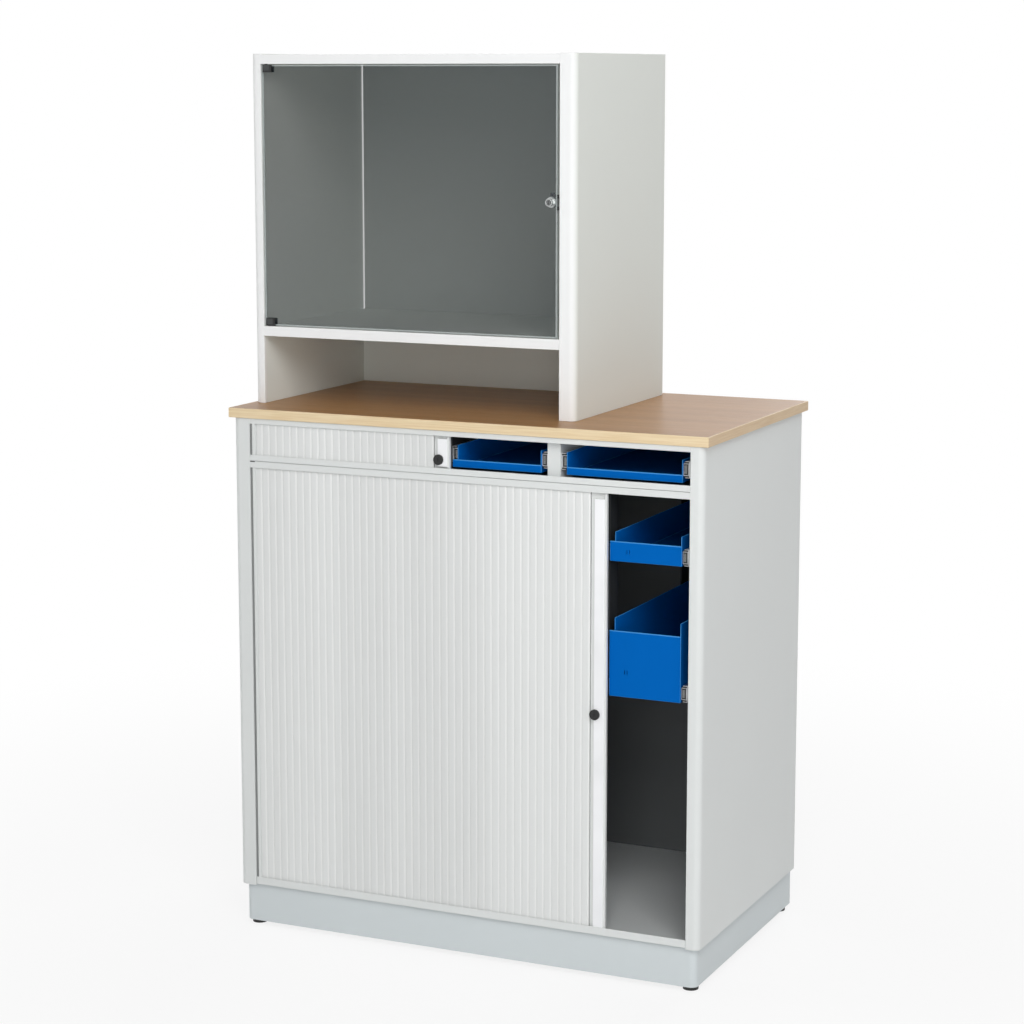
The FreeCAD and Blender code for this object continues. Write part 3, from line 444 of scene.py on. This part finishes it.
# Smoked glass
GLASS_DARK, GLASS_LIGHT = srgb(36, 46, 53), srgb(42, 53, 61)
GLASS_KEEPS_BACK = 0.29
GLASS_SMOOTH, GLASS_DULL = 0.02, 0.06
HAZE_SCALE = 3.0
SMEAR_SCALE = 14.0
# Partly painted highlight: the pane's ground edge and border paler than the glass alone
EDGE_HIGHLIGHT_DARK, EDGE_HIGHLIGHT_LIGHT = srgb(172, 181, 180), srgb(190, 197, 196)
BORDER_HIGHLIGHT_DARK, BORDER_HIGHLIGHT_LIGHT = srgb(196, 206, 206), srgb(208, 216, 216)
BORDER_KEEPS_BACK = 0.5
GROUND_SMOOTH, GROUND_DULL = 0.25, 0.4
FROSTING_SCALE = 400.0
GRINDING_SCALE = 90.0


def smoked_glass():
    """A dark pane that shows what is behind it: its alpha is the share that the glass keeps back."""
    material, tree, shader = new_material("smoked_glass", Alpha=GLASS_KEEPS_BACK)
    haze = ranged(tree, noise(tree, HAZE_SCALE))
    coloured(tree, shader, haze, GLASS_DARK, GLASS_LIGHT)
    roughened(tree, shader, noise(tree, SMEAR_SCALE), GLASS_SMOOTH, GLASS_DULL)
    return material


def ground_edge_highlight(name, dark, light, **sockets):
    """The pane's ground edge, paler and cloudier than its faces; the paleness is partly a painted highlight."""
    material, tree, shader = new_material(name, **sockets)
    frosting = ranged(tree, noise(tree, FROSTING_SCALE))
    coloured(tree, shader, frosting, dark, light)
    roughened(tree, shader, noise(tree, GRINDING_SCALE), GROUND_SMOOTH, GROUND_DULL)
    return material


# The record's material slots
SLAT_GREY = srgb(222, 224, 223)
PLASTIC_BLACK = srgb(18, 19, 19)
ZINC = srgb(218, 220, 221)
CHROME = srgb(184, 187, 186)
SCREW_ZINC = srgb(176, 178, 178)
SLOT_MATERIALS = {
    "carcass_paint": powder_coat("grey_coat", BASE_GREY),
    # Painted shade: the inner parts get the dark grey that stands in for the shade inside
    "inner_paint": powder_coat("inner_shade_coat", INNER_SHADE_GREY, MATT),
    # The inner frame's near-black is partly painted shade for the dark bay around the slides
    "frame_paint": powder_coat("frame_black_and_shade_coat", FRAME_BLACK_AND_SHADE, MATT),
    "plinth_paint": powder_coat("plinth_coat", PLINTH_GREY),
    "housing_paint": two_tone_and_shade_coat("housing_coat", HOUSING_WHITE, HOUSING_GREY_AND_SHADE),
    "worktop_laminate": beech_laminate(),
    "edging_beech": beech_edging("front_edging", FRONT_EDGING_DARK, FRONT_EDGING_LIGHT),
    "slat_plastic": slat_plastic("slat_plastic", SLAT_GREY),
    "black_plastic": moulded_plastic("black_plastic", PLASTIC_BLACK, roughness=0.38),
    "drawer_paint": powder_coat("blue_coat", DRAWER_BLUE, MATT, Specular_IOR_Level=DRAWER_SHEEN),
    "slide_steel": metal("zinc_steel", ZINC, roughness=0.36, spread=0.08, scale=60.0),
    "tinted_glass": smoked_glass(),
    "lock_chrome": metal("chrome", CHROME, roughness=0.15, spread=0.04, scale=120.0),
    "screw_steel": metal("screw_zinc", SCREW_ZINC, roughness=0.3, spread=0.08, scale=200.0),
}

# Shape helpers
WELD = 1e-6
FLAT = math.radians(1)
SHARP = math.radians(32)
EASE_SEGMENTS = 2


def new_piece(name, mesh, body, slot):
    """A piece made of a mesh, riding on a body and finished as a material slot says."""
    piece = bpy.data.objects.new(name, mesh)
    bpy.context.scene.collection.objects.link(piece)
    mesh.materials.clear()
    mesh.materials.append(SLOT_MATERIALS[slot])
    for face in mesh.polygons:
        face.use_smooth = True
    if body:
        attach(piece, body)
    return piece


def welded(node):
    """The shape of a CAD node with its faces joined at their edges."""
    shape = bmesh.new()
    shape.from_mesh(frame["nodes"][node].data)
    bmesh.ops.remove_doubles(shape, verts=shape.verts, dist=WELD)
    return shape


def mesh_of(name, shape):
    """A new mesh from a shape, which is used up."""
    mesh = bpy.data.meshes.new(name)
    shape.to_mesh(mesh)
    shape.free()
    return mesh


def creased(shape):
    """Marks the sharp edges of a shape that is otherwise smooth."""
    for edge in shape.edges:
        edge.smooth = edge.calc_face_angle(0) < SHARP


def closed_tube(shape, rings):
    """Faces from each ring of points to the next, and one across each end."""
    for near, far in zip(rings, rings[1:]):
        for side in range(len(near)):
            after = (side + 1) % len(near)
            shape.faces.new((near[side], near[after], far[after], far[side]))
    shape.faces.new(rings[0])
    shape.faces.new(rings[-1])


def softened(node, slot, width):
    """A copy of a CAD node with its edges eased, which stands in the node's place."""
    shape = welded(node)
    bmesh.ops.dissolve_limit(shape, angle_limit=FLAT, verts=shape.verts, edges=shape.edges)
    piece = new_piece(node + "_finish", mesh_of(node + "_finish", shape), NODE_BODY[node], slot)
    edges = piece.modifiers.new("eased_edges", "BEVEL")
    edges.width = width
    edges.segments = EASE_SEGMENTS
    edges.limit_method = "ANGLE"
    edges.angle_limit = SHARP
    piece.modifiers.new("flat_faces", "WEIGHTED_NORMAL").keep_sharp = True
    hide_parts(node)


# Every CAD node of the desk with its edges eased, by finish
EASED = {
    "carcass_paint": 0.5 * MM,
    "inner_paint": 0.4 * MM,
    "frame_paint": 0.4 * MM,
    "plinth_paint": 0.8 * MM,
    "housing_paint": 0.8 * MM,
    "worktop_laminate": 0.2 * MM,
    "edging_beech": 0.8 * MM,
    "slat_plastic": 0.4 * MM,
    "black_plastic": 0.4 * MM,
    "drawer_paint": 0.65 * MM,
    "slide_steel": 0.3 * MM,
    "tinted_glass": 1.3 * MM,
    "lock_chrome": 0.5 * MM,
    "screw_steel": 0.3 * MM,
}
SHAPED_APART = ("upper_shutter_slats", "lower_shutter_slats", "back_panel_screws")
for node in frame["nodes"]:
    if node not in SHAPED_APART:
        slot = NODE_SLOT[node]
        softened(node, slot, EASED[slot])

# Faces with a finish of their own
SECOND_FINISH = 1
FACING = 0.9


def refinished(node, material, chosen, eased_too=False):
    """A second material on the chosen faces of a finished node, and on its eased edges if asked."""
    piece = bpy.data.objects[node + "_finish"]
    piece.data.materials.append(material)
    for face in piece.data.polygons:
        if chosen(face):
            face.material_index = SECOND_FINISH
    if eased_too:
        piece.modifiers["eased_edges"].material = SECOND_FINISH


# White plates on the fronts of the shutters' end bars, which stand a little proud of the slats
PLATE_WHITE = moulded_plastic("plate_white", srgb(243, 244, 246), roughness=0.35, scale=COARSE_GRAIN,
                              strength=0.1)
PLATE_PROUD = 0.1 * MM
SLATS_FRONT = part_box("lower_shutter_slats")[0].y
for level in LEVELS:
    refinished(level + "_end_bar", PLATE_WHITE, lambda face: face.center.y < SLATS_FRONT - PLATE_PROUD)

# Painted shade: dark grey paint on the inner faces of the base's back and side panels, standing in for the shade
# inside
INSIDE_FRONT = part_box("base_floor")[0].y
INNER_SHADE_COAT = SLOT_MATERIALS["inner_paint"]
refinished("base_back_panel", INNER_SHADE_COAT, lambda face: face.normal.y < -FACING)
refinished("left_side_panel", INNER_SHADE_COAT,
           lambda face: face.normal.x > FACING and face.center.y > INSIDE_FRONT)
refinished("right_side_panel", INNER_SHADE_COAT,
           lambda face: face.normal.x < -FACING and face.center.y > INSIDE_FRONT)

# Inside back of the housing in a darker grey of painted shade, ends of the worktop in a darker edging of painted
# shade, and the pane's edges paler, partly as a painted highlight
HOUSING_BACK_SHADE_COAT = housing_coat("housing_back_shade_coat", HOUSING_BACK_SHADE_GREY)
refinished("housing_back", HOUSING_BACK_SHADE_COAT, lambda face: face.normal.y < -FACING)

# Painted shade: the worktop's ends get the darker edging
SHADED_END_EDGING = beech_edging("end_edging_shade", END_SHADE_DARK, END_SHADE_LIGHT)
refinished("worktop_edging", SHADED_END_EDGING, lambda face: abs(face.normal.x) > FACING)

# Partly painted highlight: the pane's edges get the paler edge material
EDGE_HIGHLIGHT_MATERIAL = ground_edge_highlight("glass_edge_highlight", EDGE_HIGHLIGHT_DARK, EDGE_HIGHLIGHT_LIGHT)
refinished("glass_door", EDGE_HIGHLIGHT_MATERIAL, lambda face: abs(face.normal.y) < FACING, eased_too=True)

# A paler border round the pane's front, where its ground edge shows through; partly a painted highlight
BORDER_WIDTH = 2.4 * MM
BORDER_FINISH = 2
BORDER_HIGHLIGHT_MATERIAL = ground_edge_highlight("glass_border_highlight", BORDER_HIGHLIGHT_DARK, BORDER_HIGHLIGHT_LIGHT, Alpha=BORDER_KEEPS_BACK)


def pane_border_highlight():
    pane = bpy.data.objects["glass_door_finish"].data
    shape = bmesh.new()
    shape.from_mesh(pane)
    front = [face for face in shape.faces if face.normal.y < -FACING]
    border = bmesh.ops.inset_region(shape, faces=front, thickness=BORDER_WIDTH, use_even_offset=True)
    pane.materials.append(BORDER_HIGHLIGHT_MATERIAL)
    for face in border["faces"]:
        face.material_index = BORDER_FINISH
    shape.to_mesh(pane)
    shape.free()


pane_border_highlight()

# Painted highlight: a lighter blue on the eased edges of the drawers' trays
RIM_HIGHLIGHT_COAT = powder_coat("rim_highlight_coat", RIM_HIGHLIGHT_BLUE, RIM_ROUGHNESS, Specular_IOR_Level=RIM_SHEEN)
SLOT_EDGE = 9 * MM


def sharp_slots(tray):
    """Leaves out the short edges of a tray's slots where its edges are eased."""
    piece = bpy.data.objects[tray + "_finish"]
    shape = bmesh.new()
    shape.from_mesh(piece.data)
    eased = shape.edges.layers.float.new("bevel_weight_edge")
    for edge in shape.edges:
        long_enough = edge.calc_length() > SLOT_EDGE
        edge[eased] = float(long_enough and edge.calc_face_angle(0) > SHARP)
    shape.to_mesh(piece.data)
    shape.free()
    piece.modifiers["eased_edges"].limit_method = "WEIGHT"


for drawer in DRAWERS:
    refinished(drawer + "_tray", RIM_HIGHLIGHT_COAT, lambda face: False, eased_too=True)
    sharp_slots(drawer + "_tray")

# Nickel on the plug of the door's lock
PLUG_NICKEL = metal("plug_nickel", srgb(120, 122, 122), roughness=0.24, spread=0.06, scale=150.0)
refinished("door_lock_plug", PLUG_NICKEL, lambda face: True)


# Solids of a CAD node that has several
def solids_of(node):
    """The lowest and highest corner of each separate solid in a node."""
    shape = welded(node)
    left = set(shape.verts)
    corners = []
    while left:
        reached = [left.pop()]
        for vert in reached:
            for edge in vert.link_edges:
                other = edge.other_vert(vert)
                if other in left:
                    left.remove(other)
                    reached.append(other)
        places = [vert.co for vert in reached]
        corners.append((Vector([min(p[axis] for p in places) for axis in range(3)]),
                        Vector([max(p[axis] for p in places) for axis in range(3)])))
    shape.free()
    return sorted(corners, key=lambda pair: tuple(pair[0]))


# Pan-head screws with a six-sided socket, on the backs: rings as shares of the head's radius and height
HEAD_SIDES = 24
HEAD_RINGS = ((1.0, 0.0), (1.0, 0.35), (0.93, 0.62), (0.78, 0.86), (0.58, 1.0))
SOCKET_SHARE = 0.42
SOCKET_DEPTH = 0.7
SOCKET_SECTOR = FULL_TURN / 6


def hexagon(turn):
    """The distance from a hexagon's middle to its edge, where a corner is at 1."""
    return math.cos(SOCKET_SECTOR / 2) / math.cos(turn % SOCKET_SECTOR - SOCKET_SECTOR / 2)


def screw_heads():
    shape = bmesh.new()
    turns = [FULL_TURN * side / HEAD_SIDES for side in range(HEAD_SIDES)]
    for low, high in solids_of("back_panel_screws"):
        middle = (low + high) / 2
        radius = (high.x - low.x) / 2
        height = high.y - low.y
        rings = [[(radius * share, height * rise)] * HEAD_SIDES for share, rise in HEAD_RINGS]
        for rise in (1.0, 1.0 - SOCKET_DEPTH):
            rings.append([(radius * SOCKET_SHARE * hexagon(turn), height * rise) for turn in turns])
        made = []
        for ring in rings:
            made.append([shape.verts.new((middle.x + out * math.cos(turn), low.y + rise,
                                          middle.z + out * math.sin(turn)))
                         for turn, (out, rise) in zip(turns, ring)])
        closed_tube(shape, made)
    bmesh.ops.recalc_face_normals(shape, faces=shape.faces)
    creased(shape)
    return mesh_of("back_screws", shape)


heads = new_piece("back_screws", screw_heads(), "carcass", "screw_steel")
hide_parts("back_panel_screws")

# Blocks with eased edges
BLOCK_EASE = 0.25 * MM


def blocks_piece(name, blocks, body, slot, material=None):
    """A piece of several blocks with eased edges, each given by two corners."""
    shape = bmesh.new()
    for low, high in blocks:
        made = bmesh.ops.create_cube(shape, size=1.0)["verts"]
        for vert in made:
            vert.co = Vector([low[axis] if vert.co[axis] < 0 else high[axis] for axis in range(3)])
    bmesh.ops.bevel(shape, geom=shape.edges[:], offset=BLOCK_EASE, segments=EASE_SEGMENTS,
                    affect="EDGES", clamp_overlap=True)
    mesh = mesh_of(name, shape)
    piece = new_piece(name, mesh, body, slot)
    piece.modifiers.new("flat_faces", "WEIGHTED_NORMAL")
    if material:
        mesh.materials[0] = material


# Ends of the drawer slides: black caps on the middle members, black stops with a plate in the inner ones
CAP_PLAY = 0.15 * MM
CAP_REACH = 0.65 * MM
CAP_FRONT, CAP_BACK = 2.0 * MM, 5.0 * MM
STOP_GAP = 0.4 * MM
STOP_INSET = 0.9 * MM
STOP_LENGTH = 9 * MM
PLATE_GAP = 1.9 * MM
PLATE_END_GAP = 3.6 * MM
PLATE_INSET = 0.3 * MM
PLATE_LENGTH = 3 * MM


def set_into(member, side_gap, end_gap, inset, length):
    """The corners of a block set into the front end of a slide's member."""
    low, high = member
    return ((low.x + side_gap, low.y + inset, low.z + end_gap),
            (high.x - side_gap, low.y + inset + length, high.z - end_gap))


def slide_ends(drawer):
    caps = []
    stops = []
    plates = []
    members = zip(solids_of(drawer + "_slide_fixed"), solids_of(drawer + "_slide_middle"),
                  solids_of(drawer + "_slide_inner"))
    for fixed, middle, inner in members:
        front, back = middle[0].y - CAP_FRONT, middle[0].y + CAP_BACK
        left, right = middle[0].x + CAP_PLAY, middle[1].x - CAP_PLAY
        step = middle[1].z - inner[1].z
        caps.append(((left, front, inner[1].z + CAP_PLAY), (right, back, fixed[1].z - step + CAP_REACH)))
        caps.append(((left, front, fixed[0].z + step - CAP_REACH), (right, back, inner[0].z - CAP_PLAY)))
        stops.append(set_into(inner, STOP_GAP, STOP_GAP, STOP_INSET, STOP_LENGTH))
        plates.append(set_into(inner, PLATE_GAP, PLATE_END_GAP, PLATE_INSET, PLATE_LENGTH))
    blocks_piece(drawer + "_slide_caps", caps, drawer + "_middle_members", "black_plastic")
    blocks_piece(drawer + "_slide_stops", stops, drawer, "black_plastic")
    blocks_piece(drawer + "_slide_plates", plates, drawer, "slide_steel", PLUG_NICKEL)


for drawer in DRAWERS:
    slide_ends(drawer)

# Rolled rim along the top of each drawer's front, in the lighter blue of a painted highlight
RIM_RADIUS = 1.3 * MM
RIM_PROUD = 0.2 * MM
RIM_SIDES = 12
RIM_END = 0.6
LEVEL = 0.01 * MM
LEVEL_PLACES = 5


def rolled_rim(drawer):
    """A bar along the front's top edge, at the second highest level there, drawn in at its two ends."""
    corners = [vert.co for vert in frame["nodes"][drawer + "_tray"].data.vertices]
    front = min(corner.y for corner in corners)
    on_front = [corner for corner in corners if corner.y < front + LEVEL]
    top = sorted({round(corner.z, LEVEL_PLACES) for corner in on_front})[-2]
    across = [corner.x for corner in on_front if abs(corner.z - top) < LEVEL]
    left, right = min(across), max(across)
    sections = ((left, RIM_END), (left + RIM_RADIUS, 1.0), (right - RIM_RADIUS, 1.0), (right, RIM_END))
    shape = bmesh.new()
    rings = []
    for x, share in sections:
        ring = []
        for side in range(RIM_SIDES):
            turn = FULL_TURN * side / RIM_SIDES
            ring.append(shape.verts.new((x, front - RIM_PROUD + RIM_RADIUS * (1 + share * math.cos(turn)),
                                         top - RIM_PROUD + RIM_RADIUS * share * math.sin(turn))))
        rings.append(ring)
    closed_tube(shape, rings)
    bmesh.ops.recalc_face_normals(shape, faces=shape.faces)
    mesh = mesh_of(drawer + "_rim", shape)
    new_piece(drawer + "_rim", mesh, drawer, "drawer_paint")
    # Painted highlight: the rim gets the lighter blue
    mesh.materials[0] = RIM_HIGHLIGHT_COAT


for drawer in DRAWERS:
    rolled_rim(drawer)

# Grey strips between the left stile and the inlet strips, a base and a thinner lip: painted shade that stands in
# for the dark gaps there
GAP_SHADE_GREY = moulded_plastic("gap_shade_grey", srgb(134, 137, 136), roughness=0.6)
SHADE_BACK = 0.2 * MM
SHADE_LIP = 0.5 * MM
SHADE_INSET = 0.5 * MM

stile_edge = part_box("left_side_panel")[1].x
gap_shade_blocks = []
for low, high in solids_of("inlet_strips"):
    shade_left, shade_right = stile_edge + SHADE_INSET, low.x - SHADE_INSET
    gap_shade_blocks.append(((shade_left, low.y + SHADE_LIP, low.z), (shade_right, high.y - SHADE_BACK, high.z)))
    gap_shade_blocks.append(((shade_left + SHADE_INSET, low.y, low.z),
                        (shade_right - SHADE_INSET, low.y + SHADE_LIP, high.z)))
blocks_piece("inlet_gap_shade", gap_shade_blocks, "carcass", "black_plastic", GAP_SHADE_GREY)

# Painted shade: a black block in the notch at the left end of the lower shutter's head rail, standing in for the
# notch's dark gap
NOTCH_LENGTH = 11 * MM
NOTCH_HEIGHT = 1.6 * MM
NOTCH_DEPTH = 1.4 * MM
NOTCH_SETBACK = 0.3 * MM

rail_low, rail_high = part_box("lower_head_rail")
notch_shade_low = (rail_low.x, rail_low.y + NOTCH_SETBACK, rail_high.z - NOTCH_HEIGHT)
notch_shade_high = (rail_low.x + NOTCH_LENGTH, rail_low.y + NOTCH_DEPTH, rail_high.z)
blocks_piece("rail_notch_shade", [(notch_shade_low, notch_shade_high)], "carcass", "black_plastic")

# Satin plates on the fronts of the door clamps
CLAMP_GREY = moulded_plastic("clamp_plate", srgb(54, 57, 57), roughness=0.4)
CLAMP_BORDER = 1.8 * MM
CLAMP_SIDE = 4.2 * MM
CLAMP_PLATE = 0.5 * MM

clamp_blocks = []
for low, high in solids_of("door_clamps"):
    pin_down = low.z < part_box("housing_shelf")[1].z
    block_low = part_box("housing_shelf")[1].z if pin_down else low.z
    block_high = high.z if pin_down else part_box("housing_top")[0].z
    clamp_blocks.append(((low.x + CLAMP_BORDER, low.y - CLAMP_PLATE, block_low + 2 * CLAMP_BORDER),
                         (high.x - CLAMP_SIDE, low.y + CLAMP_PLATE, block_high - CLAMP_BORDER)))
blocks_piece("clamp_plates", clamp_blocks, "glass_door", "black_plastic", CLAMP_GREY)

# Roller shutters: slats on show, and those still in the corner that come out as the shutter closes
SLAT_PITCH = 15.5 * MM
PITCH_PLAY = 0.01
SLAT_GROOVE = 1.1 * MM
GROOVE_DEPTH = 1.5 * MM
SLAT_ROUND = 0.6 * MM
LIP_WIDTH = 2.6 * MM
LIP_DEPTH = 0.8 * MM
LIP_CURVE = 1.5
LIP_FACING = 0.02
# Painted highlight: a paler plastic for the lips' faces that look toward the lamps
LIP_HIGHLIGHT_PLASTIC = slat_plastic("slat_lip_highlight", srgb(230, 231, 230))
PROFILE_STEPS = 5
STORE_LEFT, STORE_RIGHT = -480 * MM, -456 * MM
STORE_HALVINGS = 50
CURTAIN_OVERLAP = 6 * MM


def slat_profile():
    """One slat's front, ending in a lip: points as (distance along the pitch, depth behind the front)."""
    left = SLAT_GROOVE / 2
    right = SLAT_PITCH - SLAT_GROOVE / 2
    shares = [step / PROFILE_STEPS for step in range(PROFILE_STEPS + 1)]
    turns = [FULL_TURN / 4 * share for share in shares]
    rounding = [(left + SLAT_ROUND * (1 - math.cos(turn)), SLAT_ROUND * (1 - math.sin(turn)))
                for turn in turns]
    lip = [(right - LIP_WIDTH * (1 - share), LIP_DEPTH * share ** LIP_CURVE) for share in shares]
    return [(left, GROOVE_DEPTH)] + rounding + lip + [(right, GROOVE_DEPTH)]


def slat_line(left, right, front):
    """The front line of slats that end at right and go on past left."""
    count = math.ceil((right - left) / SLAT_PITCH - PITCH_PLAY)
    first = right - count * SLAT_PITCH
    return [(first + number * SLAT_PITCH + along, front + depth)
            for number in range(count) for along, depth in slat_profile()]


def curtain_mesh(name, front_line, back, low, high):
    """A closed sheet between heights, from its front line's points and a straight back."""
    outline = front_line + [(front_line[-1][0], back), (front_line[0][0], back)]
    shape = bmesh.new()
    bottom = [shape.verts.new((x, y, low)) for x, y in outline]
    top = [shape.verts.new((x, y, high)) for x, y in outline]
    closed_tube(shape, [bottom, top])
    bmesh.ops.recalc_face_normals(shape, faces=shape.faces)
    creased(shape)
    return mesh_of(name, shape)


def highlighted_lips(curtain):
    """Painted highlight: a paler plastic on the faces of a curtain that look to the right and the front."""
    curtain.data.materials.append(LIP_HIGHLIGHT_PLASTIC)
    for face in curtain.data.polygons:
        if face.normal.x > LIP_FACING and face.normal.y < -LIP_FACING:
            face.material_index = SECOND_FINISH


def smooth_step(share):
    return share * share * (3 - 2 * share)


def stored_place(drawn_out, travel):
    """Where a point is behind the left stile, if closing by travel brings it to drawn_out."""
    if drawn_out > STORE_RIGHT + travel:
        return drawn_out - travel
    low, high = 0.0, 1.0
    for _ in range(STORE_HALVINGS):
        middle = (low + high) / 2
        reached = STORE_LEFT + middle * (STORE_RIGHT - STORE_LEFT) + travel * smooth_step(middle)
        if reached < drawn_out:
            low = middle
        else:
            high = middle
    return STORE_LEFT + low * (STORE_RIGHT - STORE_LEFT)


def roller_shutter(level):
    """The slats of the upper or lower shutter: those on show, which ride on the curtain, and those stored bunched
    up in the corner behind the left stile.
    """
    node = level + "_shutter_slats"
    lowest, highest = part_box(node)
    line = slat_line(lowest.x, highest.x, lowest.y)
    shown = new_piece(level + "_slats_shown",
                      curtain_mesh(level + "_slats_shown", line, highest.y, lowest.z, highest.z),
                      level + "_curtain", "slat_plastic")
    highlighted_lips(shown)
    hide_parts(node)
    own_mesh(shown)
    travel = -JOINTS[level + "_shutter_close"]["range_m"][0]
    following = slat_line(lowest.x - CURTAIN_OVERLAP, lowest.x + travel, lowest.y)
    following.append((lowest.x + travel + SLAT_GROOVE / 2, lowest.y + GROOVE_DEPTH))
    stored_line = [(stored_place(x, travel), y) for x, y in following]
    stored = new_piece(level + "_slats_stored",
                       curtain_mesh(level + "_slats_stored", stored_line, highest.y, lowest.z, highest.z),
                       None, "slat_plastic")
    highlighted_lips(stored)
    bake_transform(stored)


for level in LEVELS:
    roller_shutter(level)
